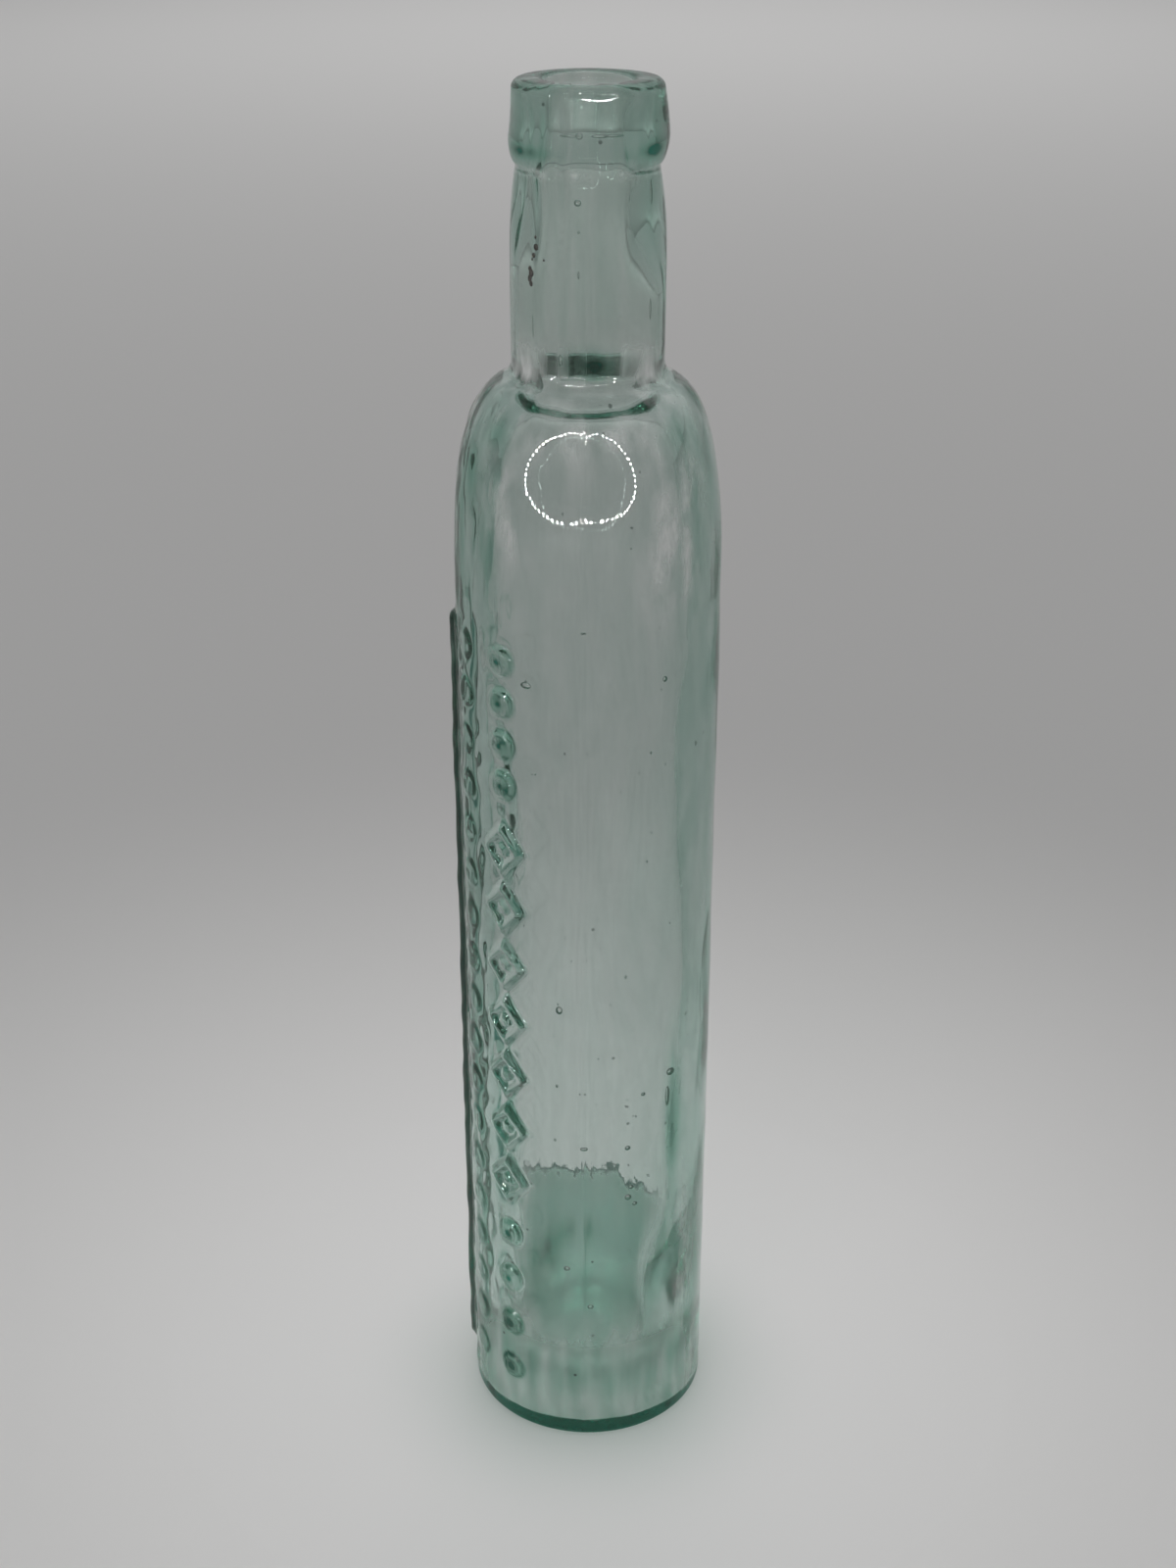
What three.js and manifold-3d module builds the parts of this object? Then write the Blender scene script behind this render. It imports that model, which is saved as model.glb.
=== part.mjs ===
// A tall round poison bottle of mould-blown glass, with a studded relief and a laid-on lip.
// Millimetres, +Z up. The origin is the centre of the base, the front is -Y and the relief faces -X.
import * as THREE from 'three';
import { mergeVertices } from 'three/addons/utils/BufferGeometryUtils.js';
import Module from 'manifold-3d';

// Outside of the body. The shoulder is a quarter of a full ellipse that would level out inside the neck.
const baseRadius = 20.5;
const shoulderRadius = 20.75;
const bodyHeight = 155;
const shoulderHeight = 31.5;
const shoulderFullness = 2.7;
const shoulderRunIn = 2.1;
const heelRounding = 1;

// Underside of the base
const pushUpDepth = 2;
const standingRing = 5.5;

// Outside of the neck, which draws in under the lip
const neckRadius = 11.5;
const neckDrawIn = 1;
const neckDrawInHeight = 12;
const neckHeight = 30.6;

// Hollow inside
const wall = 5.7;
const baseThickness = 5.5;
const floorRounding = 11;
const floorFullness = 3.4;
const shoulderThickness = 5;
const hollowFullness = 2.4;
const neckRootWall = 3.1;

// Laid-on lip, round the sheared end of the neck
const neckInLip = 5;
const seatGap = 0.3;
const lipAboveNeck = 6.6;
const lipOverhang = 1.15;
const lipBevelHeight = 3.5;
const lipLean = 0.65;
const rimRounding = 1.6;
const mouthRadius = 6.1;
const boreEase = 0.3;

// Relief: a rib between two columns of round studs, and beside them, towards the front, a column with a chain
// of lozenges between two groups of studs
const reliefHeight = 1;
const reliefRoot = 0.8;
const columnPitch = 9.3;
const studRadius = 2.45;
const studPitch = 7.9;
const studTopMargin = 9;
const studBottomMargin = 11.8;
const ribHeight = 0.85;
const ribWidth = 3.4;
const ribChamfer = 0.5;
const ribTopMargin = 6.5;
const ribBottomMargin = 6;
const groupCount = 4;
const upperGroupPitch = 6.9;
const lowerGroupPitch = 9.6;
const lozengePitch = 10.4;
const lozengeHeight = 9.4;
const lozengeWidth = 8;
const lozengeStroke = 1.5;
const lozengeChamfer = 0.4;
const lozengeBossRadius = 1.3;

// Facets
const turns = 40;
const shoulderSteps = 12;
const curveSteps = 8;
const roundingSteps = 4;
const studTurns = 10;
const studSteps = 2;
const ribEndSteps = 6;
const mergeDistance = 1e-4;

// Sizes that follow from those above
const crownRadius = neckRadius - shoulderRunIn;
const neckTopRadius = neckRadius - neckDrawIn;
const boreRootRadius = neckRadius - neckRootWall;
const boreTopRadius = mouthRadius + boreEase;
const cavityRadius = baseRadius - wall;
const cavityBottom = pushUpDepth + baseThickness;
const crease = bodyHeight + shoulderHeight;
const lipBottom = crease + neckHeight;
const neckEnd = lipBottom + neckInLip;
const lipSeat = neckEnd + seatGap;
const lipTop = lipSeat + lipAboveNeck;
const lipSocketRadius = neckTopRadius + seatGap;
const lipRadius = neckTopRadius + lipOverhang;
const lipRimRadius = lipRadius - lipLean;
const topStud = bodyHeight - studTopMargin;
const quarterTurn = Math.PI / 2;

const wasm = await Module();
wasm.setup();

// Points of a superellipse about a centre. Angle 0 lies on its radius, and a quarter turn on its height.
function superArc(centreRadius, centreHeight, radius, height, power, from, to, steps) {
  const points = [];
  for (let step = 0; step <= steps; step += 1) {
    const angle = from + ((to - from) * step) / steps;
    const across = Math.sign(Math.cos(angle)) * Math.abs(Math.cos(angle)) ** (2 / power);
    const up = Math.sign(Math.sin(angle)) * Math.abs(Math.sin(angle)) ** (2 / power);
    points.push(new THREE.Vector2(centreRadius + radius * across, centreHeight + height * up));
  }
  return points;
}

// A profile of radius and height, turned about the Z axis
function revolve(profile, segments) {
  const geometry = new THREE.LatheGeometry(profile, segments);
  geometry.rotateX(quarterTurn);
  return geometry;
}

// A closed solid from a geometry, without the empty triangles that a profile leaves on its axis
function toSolid(geometry) {
  geometry.deleteAttribute('normal');
  geometry.deleteAttribute('uv');
  const merged = mergeVertices(geometry, mergeDistance);
  const index = merged.index.array;
  const triangles = [];
  for (let corner = 0; corner < index.length; corner += 3) {
    const [a, b, c] = index.slice(corner, corner + 3);
    if (a !== b && b !== c && c !== a) {
      triangles.push(a, b, c);
    }
  }
  return new wasm.Manifold(new wasm.Mesh({
    numProp: 3,
    vertProperties: new Float32Array(merged.attributes.position.array),
    triVerts: new Uint32Array(triangles),
  }));
}

function toMesh(name, solid, material) {
  const { vertProperties, triVerts } = solid.getMesh();
  const geometry = new THREE.BufferGeometry();
  geometry.setAttribute('position', new THREE.BufferAttribute(vertProperties, 3));
  geometry.setIndex(new THREE.BufferAttribute(triVerts, 1));
  geometry.computeVertexNormals();
  const mesh = new THREE.Mesh(geometry, material);
  mesh.name = name;
  return mesh;
}

// Base, wall, shoulder and neck as one turned profile: up the outside, over the sheared neck end
// and down the inside
function bodyProfile() {
  const heelCentre = baseRadius - heelRounding;
  const underside = superArc(0, 0, heelCentre - standingRing, pushUpDepth, 2, quarterTurn, 0, roundingSteps);
  const heel = superArc(
    heelCentre, heelRounding, heelRounding, heelRounding, 2, -quarterTurn, 0, roundingSteps,
  );
  const shoulderWidth = shoulderRadius - crownRadius;
  const creaseAngle = Math.acos((shoulderRunIn / shoulderWidth) ** (shoulderFullness / 2));
  const shoulder = superArc(
    crownRadius, bodyHeight, shoulderWidth, shoulderHeight, shoulderFullness, 0, creaseAngle, shoulderSteps,
  );
  const drawInStart = lipBottom - neckDrawInHeight;
  const neck = new THREE.QuadraticBezierCurve(
    new THREE.Vector2(neckRadius, drawInStart),
    new THREE.Vector2(neckRadius, (drawInStart + lipBottom) / 2),
    new THREE.Vector2(neckTopRadius, lipBottom),
  ).getPoints(curveSteps);
  const shearedEnd = [
    new THREE.Vector2(neckTopRadius, neckEnd),
    new THREE.Vector2(boreTopRadius, neckEnd),
  ];
  const innerShoulder = superArc(
    boreRootRadius, bodyHeight, cavityRadius - boreRootRadius, shoulderHeight - shoulderThickness,
    hollowFullness, quarterTurn, 0, curveSteps,
  );
  const cavityFloor = superArc(
    0, cavityBottom + floorRounding, cavityRadius, floorRounding, floorFullness,
    0, -quarterTurn, shoulderSteps,
  );
  return [...underside, ...heel, ...shoulder, ...neck, ...shearedEnd, ...innerShoulder, ...cavityFloor];
}

// The collar that caps the sheared neck end: a bevel, a leaning face, a rounded rim and the mouth
function lipProfile() {
  const rim = Math.min(rimRounding, (lipRimRadius - mouthRadius) / 2);
  const rimBottom = lipTop - rim;
  const bevel = superArc(
    lipSocketRadius, lipBottom + lipBevelHeight, lipRadius - lipSocketRadius, lipBevelHeight,
    2, -quarterTurn, 0, roundingSteps,
  );
  const outerRim = superArc(lipRimRadius - rim, rimBottom, rim, rim, 2, 0, quarterTurn, roundingSteps);
  const innerRim = superArc(mouthRadius + rim, rimBottom, -rim, rim, 2, quarterTurn, 0, roundingSteps);
  const seat = [
    new THREE.Vector2(mouthRadius, lipSeat),
    new THREE.Vector2(lipSocketRadius, lipSeat),
    new THREE.Vector2(lipSocketRadius, lipBottom),
  ];
  return [...bevel, ...outerRim, ...innerRim, ...seat];
}

// Radius of the outer wall at a height
function wallRadius(height) {
  return THREE.MathUtils.lerp(baseRadius, shoulderRadius, height / bodyHeight);
}

// Bends a flat relief piece round the wall: x runs along it, y up it, z out of it.
// The angle is counted from the front towards -X.
function wrapOnWall(geometry, angle, height) {
  const places = geometry.attributes.position;
  for (let corner = 0; corner < places.count; corner += 1) {
    const turn = angle - places.getX(corner) / baseRadius;
    const level = height + places.getY(corner);
    const radius = wallRadius(level) + places.getZ(corner);
    places.setXYZ(corner, -radius * Math.sin(turn), -radius * Math.cos(turn), level);
  }
  return geometry;
}

// A low dome, which carries on a little way under the wall's surface
function stud(radius) {
  const fullHeight = reliefHeight + reliefRoot;
  const rootRadius = radius / Math.sqrt(1 - (reliefRoot / fullHeight) ** 2);
  const dome = superArc(0, -reliefRoot, rootRadius, fullHeight, 2, 0, quarterTurn, studSteps);
  return revolve([new THREE.Vector2(0, -reliefRoot), ...dome], studTurns);
}

// A diamond-shaped frame with chamfered edges
function lozenge() {
  const chamfer = Math.min(lozengeChamfer, lozengeStroke / 3);
  const halfWidth = lozengeWidth / 2;
  const halfHeight = lozengeHeight / 2;
  const slant = Math.hypot(halfWidth, halfHeight);
  const outline = (inset) => {
    const across = halfWidth - (inset * slant) / halfHeight;
    const up = halfHeight - (inset * slant) / halfWidth;
    return [[across, 0], [0, up], [-across, 0], [0, -up]].map(([x, y]) => new THREE.Vector2(x, y));
  };
  const frame = new THREE.Shape(outline(chamfer));
  frame.holes.push(new THREE.Path(outline(lozengeStroke - chamfer)));
  const geometry = new THREE.ExtrudeGeometry(frame, {
    depth: reliefRoot + reliefHeight - 2 * chamfer,
    bevelSize: chamfer,
    bevelThickness: chamfer,
    bevelSegments: 1,
  });
  geometry.translate(0, 0, chamfer - reliefRoot);
  return geometry;
}

// A low straight rib with round ends and chamfered edges, centred on its middle
function rib(length) {
  const chamfer = Math.min(ribChamfer, ribHeight / 2, ribWidth / 4);
  const radius = ribWidth / 2 - chamfer;
  const reach = length / 2 - ribWidth / 2;
  const outline = new THREE.Shape();
  outline.absarc(0, reach, radius, 0, Math.PI);
  outline.absarc(0, -reach, radius, Math.PI, 2 * Math.PI);
  const geometry = new THREE.ExtrudeGeometry(outline, {
    depth: reliefRoot + ribHeight - 2 * chamfer,
    bevelSize: chamfer,
    bevelThickness: chamfer,
    bevelSegments: 1,
    curveSegments: ribEndSteps,
  });
  geometry.translate(0, 0, chamfer - reliefRoot);
  return geometry;
}

// Heights of a row of copies, from the lowest upwards
function heights(lowest, pitch, count) {
  return Array.from({ length: count }, (_, place) => lowest + place * pitch);
}

// The relief as flat pieces wrapped on the wall, column by column
function reliefPieces() {
  const pieces = [];
  const facing = quarterTurn;
  const columnAngle = columnPitch / baseRadius;
  const ribTop = bodyHeight - ribTopMargin;
  pieces.push(wrapOnWall(rib(ribTop - ribBottomMargin), facing, (ribTop + ribBottomMargin) / 2));
  const fullCount = Math.round((topStud - studBottomMargin) / studPitch) + 1;
  for (const column of [-1, 1]) {
    for (const drop of heights(0, studPitch, fullCount)) {
      pieces.push(wrapOnWall(stud(studRadius), facing + column * columnAngle, topStud - drop));
    }
  }
  const groupTop = topStud - (groupCount - 1) * upperGroupPitch - studRadius;
  const groupBottom = studBottomMargin + (groupCount - 1) * lowerGroupPitch + studRadius;
  const lozengeCount = Math.floor((groupTop - groupBottom) / lozengePitch);
  const chainMiddle = (groupTop + groupBottom) / 2;
  const lowestLozenge = chainMiddle - ((lozengeCount - 1) * lozengePitch) / 2;
  const angle = facing - 2 * columnAngle;
  for (const drop of heights(0, upperGroupPitch, groupCount)) {
    pieces.push(wrapOnWall(stud(studRadius), angle, topStud - drop));
  }
  for (const level of heights(studBottomMargin, lowerGroupPitch, groupCount)) {
    pieces.push(wrapOnWall(stud(studRadius), angle, level));
  }
  for (const level of heights(lowestLozenge, lozengePitch, lozengeCount)) {
    pieces.push(wrapOnWall(lozenge(), angle, level));
    pieces.push(wrapOnWall(stud(lozengeBossRadius), angle, level));
  }
  return pieces;
}

const glass = new THREE.MeshStandardMaterial({
  name: 'aqua_glass', color: 0xa9cfc0, roughness: 0.05, metalness: 0, transparent: true, opacity: 0.45,
});

const blownBody = reliefPieces().reduce(
  (solid, piece) => solid.add(toSolid(piece)),
  toSolid(revolve(bodyProfile(), turns)),
);
const laidLip = toSolid(revolve(lipProfile(), turns));

const bottle = new THREE.Group();
bottle.add(toMesh('bottle_body', blownBody, glass));
bottle.add(toMesh('applied_lip', laidLip, glass));

export default bottle;
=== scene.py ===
# %% [markdown]
# A tall round bottle of aqua glass, blown into a two-part mould about a century and a half ago. One side
# carries raised studs, so that a hand could tell it from other bottles in the dark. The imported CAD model
# gives its size, its place and its two pieces. This lesson dresses it: it reads the sizes from the frame,
# builds the glass that a camera sees, and lights it softly on pale paper.

# %% Load the frame
import math
import random

import bmesh
import bpy
import numpy as np
from mathutils import Matrix, Vector


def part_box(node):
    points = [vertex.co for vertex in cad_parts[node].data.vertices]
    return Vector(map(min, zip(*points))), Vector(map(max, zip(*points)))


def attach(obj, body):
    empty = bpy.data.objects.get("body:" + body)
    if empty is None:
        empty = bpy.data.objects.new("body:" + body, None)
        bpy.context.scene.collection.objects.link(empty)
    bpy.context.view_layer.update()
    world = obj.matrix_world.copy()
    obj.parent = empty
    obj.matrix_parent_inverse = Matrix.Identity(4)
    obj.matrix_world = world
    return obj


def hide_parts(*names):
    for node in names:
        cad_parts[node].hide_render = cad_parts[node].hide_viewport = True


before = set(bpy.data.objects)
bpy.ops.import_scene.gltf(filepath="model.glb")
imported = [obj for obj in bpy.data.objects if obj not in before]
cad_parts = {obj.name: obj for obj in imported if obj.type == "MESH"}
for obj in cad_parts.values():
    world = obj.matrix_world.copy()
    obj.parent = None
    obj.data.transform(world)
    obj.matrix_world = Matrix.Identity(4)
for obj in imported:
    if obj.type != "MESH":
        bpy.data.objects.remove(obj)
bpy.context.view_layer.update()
MM = 0.001


print("CAD nodes:", sorted(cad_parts))

# %% [markdown]
# The main sizes come from the two CAD nodes, so the glass stands exactly where the solids stand. They could
# be typed in again, but then a change to the solids would be missed here. Only the smaller ones, such as
# the rounding of the rim, repeat the values that the solids were made with. All are millimetres.

# %% Sizes read from the frame
body_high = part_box("bottle_body")[1] / MM
lip_low, lip_high = (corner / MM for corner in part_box("applied_lip"))
SHOULDER_RADIUS = body_high.x
LIP_RADIUS = lip_high.x
LIP_BOTTOM = lip_low.z
LIP_TOP = lip_high.z
print(f"shoulder radius {SHOULDER_RADIUS:.2f}, lip from {LIP_BOTTOM:.1f} to {LIP_TOP:.1f}")

# %% Sizes of the outside
WALL_TAPER = 0.25
BASE_RADIUS = SHOULDER_RADIUS - WALL_TAPER
BODY_HEIGHT = 155.0
SHOULDER_HEIGHT = 31.5
SHOULDER_FULLNESS = 2.7
SHOULDER_RUN_IN = 2.1
HEEL_ROUNDING = 1.0
PUSH_UP_DEPTH = 2.0
STANDING_RING = 5.5
NECK_RADIUS = 11.5
NECK_DRAW_IN = 1.0
NECK_DRAW_IN_HEIGHT = 12.0
LIP_BEVEL_HEIGHT = 3.5
LIP_LEAN = 0.65
RIM_ROUNDING = 1.6
CREASE = BODY_HEIGHT + SHOULDER_HEIGHT
CROWN_RADIUS = NECK_RADIUS - SHOULDER_RUN_IN
NECK_TOP_RADIUS = NECK_RADIUS - NECK_DRAW_IN
BEVEL_TOP = LIP_BOTTOM + LIP_BEVEL_HEIGHT
RIM_BOTTOM = LIP_TOP - RIM_ROUNDING
print(f"base radius {BASE_RADIUS:.2f}, crease above the shoulder at {CREASE:.1f}")

# %% Sizes of the hollow
WALL = 5.7
BASE_THICKNESS = 5.5
FLOOR_ROUNDING = 13.0
FLOOR_FULLNESS = 2.2
SHOULDER_THICKNESS = 5.0
HOLLOW_FULLNESS = 2.4
NECK_ROOT_WALL = 3.1
MOUTH_RADIUS = 6.1
BORE_EASE = 0.3
BORE_RADIUS = 7.3
BORE_WIDENING = 8.0
BORE_FLARE = 5.0
SHEARED_END_BELOW_TOP = 6.9
CAVITY_RADIUS = BASE_RADIUS - WALL
CAVITY_BOTTOM = PUSH_UP_DEPTH + BASE_THICKNESS
SHEARED_END = LIP_TOP - SHEARED_END_BELOW_TOP
BORE_ROOT_RADIUS = NECK_RADIUS - NECK_ROOT_WALL
BORE_ROOT = CREASE - SHOULDER_THICKNESS
print(f"cavity radius {CAVITY_RADIUS:.2f}, floor at {CAVITY_BOTTOM:.1f}, bore root at {BORE_ROOT:.1f}")

# %% [markdown]
# A turned form is a profile spun about an axis. Blender has a Screw modifier for that, but this bottle is
# round only in the large: studs, seams and the glassblower's hand make every meridian a little different.
# So the profile is a list of radius and height, and each column of the mesh bends its own copy of it. Three
# kinds of curve are enough for it: straight lines, superellipses for what is full and round, and quadratic
# curves where two stretches flow into each other.

# %% Curves for the profile
CIRCLE = 2


def super_arc(centre, radius, height, power, start, end, steps):
    """Points of a superellipse about a centre, where angle 0 lies on its radius and 90 on its height."""
    points = []
    for step in range(steps + 1):
        angle = math.radians(start + (end - start) * step / steps)
        across = math.copysign(abs(math.cos(angle)) ** (2 / power), math.cos(angle))
        up = math.copysign(abs(math.sin(angle)) ** (2 / power), math.sin(angle))
        points.append((centre[0] + radius * across, centre[1] + height * up))
    return points


def straight(start, end, spacing):
    """Points from start to just before end, about one spacing apart."""
    steps = max(1, round(math.dist(start, end) / spacing))
    return [
        tuple(a + (b - a) * step / steps for a, b in zip(start, end))
        for step in range(steps)
    ]


def bezier(start, middle, end, steps):
    """Points of a quadratic curve."""
    points = []
    for step in range(steps + 1):
        t = step / steps
        weights = ((1 - t) ** 2, 2 * t * (1 - t), t * t)
        points.append(tuple(
            sum(weight * corner[axis] for weight, corner in zip(weights, (start, middle, end)))
            for axis in (0, 1)
        ))
    return points


print("points of a quarter circle in 8 steps:", len(super_arc((0, 0), 1, 1, CIRCLE, 0, 90, 8)))

# %% Base and wall, from the middle of the base up
HEEL_ROW = 0.4
RELIEF_ROW = 0.5
COARSE_ROW = 1.6
RELIEF_BOTTOM = 4.5
RELIEF_TOP = 150.5
PUSH_UP_STEPS = 14
HEEL_STEPS = 6


def wall_radius(height):
    """Radius of the outer wall, which widens a little towards the shoulder."""
    return BASE_RADIUS + (SHOULDER_RADIUS - BASE_RADIUS) * height / BODY_HEIGHT


def base_points():
    """The push-up under the base, the standing ring and the rounded heel."""
    heel_centre = BASE_RADIUS - HEEL_ROUNDING
    ring_inside = heel_centre - STANDING_RING
    points = []
    for step in range(PUSH_UP_STEPS):
        share = step / PUSH_UP_STEPS
        points.append((share * ring_inside, PUSH_UP_DEPTH * (0.5 + 0.5 * math.cos(math.pi * share))))
    points += straight((ring_inside, 0), (heel_centre, 0), COARSE_ROW)
    points += super_arc(
        (heel_centre, HEEL_ROUNDING), HEEL_ROUNDING, HEEL_ROUNDING, CIRCLE, -90, 0, HEEL_STEPS
    )
    return points


def wall_points():
    """The wall, in close rows at the heel and on the relief."""
    marks = (HEEL_ROUNDING + HEEL_ROW, RELIEF_BOTTOM, RELIEF_TOP, BODY_HEIGHT)
    points = []
    for low, high, spacing in zip(marks, marks[1:], (HEEL_ROW, RELIEF_ROW, COARSE_ROW)):
        points += straight((wall_radius(low), low), (wall_radius(high), high), spacing)
    return points


base_and_wall = base_points() + wall_points()
print("base and wall:", len(base_and_wall), "points")

# %% Shoulder, neck and lip, up to the rim
SHOULDER_STEPS = 34
CREASE_ROUNDING = 2.2
CREASE_SOFTENED = 4
BEND_STEPS = 9
BEVEL_FULLNESS = 1.7
BEVEL_START = -78
FACE_START = 0.5
LIP_ROW = 1.0
RIM_STEPS = 8


def shoulder_and_neck_points():
    """The full shoulder, the softened crease above it, and the neck, drawn in below the lip."""
    width = SHOULDER_RADIUS - CROWN_RADIUS
    crease_angle = math.degrees(math.acos((SHOULDER_RUN_IN / width) ** (SHOULDER_FULLNESS / 2)))
    points = super_arc(
        (CROWN_RADIUS, BODY_HEIGHT), width, SHOULDER_HEIGHT,
        SHOULDER_FULLNESS, 0, crease_angle, SHOULDER_STEPS,
    )
    corner = points[-1]
    del points[-CREASE_SOFTENED:]
    neck_start = (NECK_RADIUS, corner[1] + CREASE_ROUNDING)
    points += bezier(points.pop(), corner, neck_start, BEND_STEPS)
    draw_in = LIP_BOTTOM - NECK_DRAW_IN_HEIGHT
    points += straight(neck_start, (NECK_RADIUS, draw_in), COARSE_ROW)[1:]
    half_way = (NECK_RADIUS, (draw_in + LIP_BOTTOM) / 2)
    points += bezier((NECK_RADIUS, draw_in), half_way, (NECK_TOP_RADIUS, LIP_BOTTOM), BEND_STEPS)
    return points


def lip_points():
    """The collar laid round the neck: a rounded bevel, a leaning face and a rounded rim."""
    rim_radius = LIP_RADIUS - LIP_LEAN
    points = super_arc(
        (NECK_TOP_RADIUS, BEVEL_TOP), LIP_RADIUS - NECK_TOP_RADIUS, LIP_BEVEL_HEIGHT,
        BEVEL_FULLNESS, BEVEL_START, 0, BEND_STEPS,
    )
    points += straight((LIP_RADIUS, BEVEL_TOP + FACE_START), (rim_radius, RIM_BOTTOM), LIP_ROW)
    points += super_arc(
        (rim_radius - RIM_ROUNDING, RIM_BOTTOM), RIM_ROUNDING, RIM_ROUNDING, CIRCLE, 0, 90, RIM_STEPS
    )
    return points


outside = base_and_wall + shoulder_and_neck_points() + lip_points()
print("outside profile:", len(outside), "points")

# %% Bore and cavity, from the mouth down to the middle of the floor
BORE_ROW = 1.5
INNER_ROW = 3.0
WIDENING_STEPS = 8
ROOT_SOFTENED = 3
INNER_SHOULDER_STEPS = 22
FLOOR_STEPS = 30
BORE_BOTTOM = (BORE_RADIUS, BORE_ROOT + BORE_FLARE)


def bore_points():
    """The rounded mouth and the bore, which widens below the sheared end of the neck."""
    bore_start = (MOUTH_RADIUS + BORE_EASE, SHEARED_END)
    widened = (BORE_RADIUS, SHEARED_END - BORE_WIDENING)
    half_way = (BORE_RADIUS, SHEARED_END - BORE_WIDENING / 2)
    mouth_centre = (MOUTH_RADIUS + RIM_ROUNDING, RIM_BOTTOM)
    points = super_arc(mouth_centre, -RIM_ROUNDING, RIM_ROUNDING, CIRCLE, 90, 0, RIM_STEPS)
    points += straight(points.pop(), bore_start, BORE_ROW)
    points += bezier(bore_start, half_way, widened, WIDENING_STEPS)
    points += straight(points.pop(), BORE_BOTTOM, BORE_ROW)
    return points


def cavity_points():
    """The flared root of the bore, the inner shoulder, the plain cavity and its rounded floor."""
    shoulder = super_arc(
        (BORE_ROOT_RADIUS, BODY_HEIGHT), CAVITY_RADIUS - BORE_ROOT_RADIUS, BORE_ROOT - BODY_HEIGHT,
        HOLLOW_FULLNESS, 90, 0, INNER_SHOULDER_STEPS,
    )
    points = bezier(BORE_BOTTOM, (BORE_RADIUS, BORE_ROOT), shoulder[ROOT_SOFTENED], BEND_STEPS)
    points += shoulder[ROOT_SOFTENED + 1:]
    floor_edge = (CAVITY_RADIUS, CAVITY_BOTTOM + FLOOR_ROUNDING)
    points += straight(points.pop(), floor_edge, INNER_ROW)
    points += super_arc(
        (0, floor_edge[1]), CAVITY_RADIUS, FLOOR_ROUNDING, FLOOR_FULLNESS, 0, -90, FLOOR_STEPS
    )
    return points


inside = bore_points() + cavity_points()
print("inside profile:", len(inside), "points")

# %% [markdown]
# The relief was cut into the mould and pressed into the soft glass. A bump map could fake its shading, but
# its rounded tops act as small lenses, and only real geometry bends the light behind them. Separate drops
# set on the wall would leave seams inside the glass. So a height field gives every point of the wall its
# rise above the plain wall. A rib runs down the middle of the relief between two columns of studs. The
# column nearest the front has studs in groups of four, with a chain of open lozenges between them.

# %% Sizes of the relief
FACING = math.radians(90)
COLUMN_PITCH = 9.3
COLUMN_ANGLE = COLUMN_PITCH / BASE_RADIUS
STUD_RADIUS = 2.45
FRONT_STUD_HEIGHT = 0.7
SIDE_STUD_HEIGHT = 0.3
STUD_PITCH = 7.9
TOP_STUD = BODY_HEIGHT - 9.0
LOWEST_STUD = 11.8
RIB_RISE = 1.1
RIB_HALF_WIDTH = 2.0
RIB_BOTTOM = 6.0
RIB_TOP = BODY_HEIGHT - 6.5
RIB_SWELL = 0.02
LOZENGE_PITCH = 10.4
LOZENGE_HALF = (4.0, 4.7)
LOZENGE_STROKE = 1.5
LOZENGE_HEIGHT = 1.0
BOSS_RADIUS = 1.3
BOSS_HEIGHT = 0.7
print(f"columns of the relief are {math.degrees(COLUMN_ANGLE):.1f} degrees apart")

# %% Places of the relief
GROUP_COUNT = 4
UPPER_GROUP_PITCH = 6.9
LOWER_GROUP_PITCH = 9.6


def relief_places():
    """Lists of (angle, height) for the studs of the side and front columns and for the lozenges."""
    side_studs = []
    full_count = round((TOP_STUD - LOWEST_STUD) / STUD_PITCH) + 1
    for column in (-1, 1):
        angle = FACING + column * COLUMN_ANGLE
        side_studs += [(angle, TOP_STUD - place * STUD_PITCH) for place in range(full_count)]
    group_top = TOP_STUD - (GROUP_COUNT - 1) * UPPER_GROUP_PITCH - STUD_RADIUS
    group_bottom = LOWEST_STUD + (GROUP_COUNT - 1) * LOWER_GROUP_PITCH + STUD_RADIUS
    chain_count = int((group_top - group_bottom) / LOZENGE_PITCH)
    chain_low = (group_top + group_bottom - (chain_count - 1) * LOZENGE_PITCH) / 2
    angle = FACING - 2 * COLUMN_ANGLE
    front_studs = [(angle, TOP_STUD - place * UPPER_GROUP_PITCH) for place in range(GROUP_COUNT)]
    front_studs += [(angle, LOWEST_STUD + place * LOWER_GROUP_PITCH) for place in range(GROUP_COUNT)]
    lozenges = [(angle, chain_low + place * LOZENGE_PITCH) for place in range(chain_count)]
    return side_studs, front_studs, lozenges


side_studs, front_studs, lozenges = relief_places()
print(len(side_studs) + len(front_studs), "studs and", len(lozenges), "lozenges")

# %% Shapes of the relief
FOOT_SOFTNESS = 0.16
CAP_ROOT = 0.8
BUTTON_STEEPNESS = 1.8
BUTTON_POWER = 3.5
BUTTON_CROWN = 0.12
STROKE_SPREAD = 0.62
RIB_POWER = 4


def soften(height):
    """Turns a height that dips below zero into one that runs out smoothly on the wall."""
    return FOOT_SOFTNESS * np.logaddexp(0, height / FOOT_SOFTNESS)


def button(distance, radius, rise):
    """A low button with a slightly crowned top and sloping sides, negative beyond its foot."""
    share = distance / radius
    sides = BUTTON_STEEPNESS * (1 - share ** BUTTON_POWER)
    return rise * np.maximum(np.minimum(sides, 1 - BUTTON_CROWN * share ** 2), -CAP_ROOT)


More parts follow.
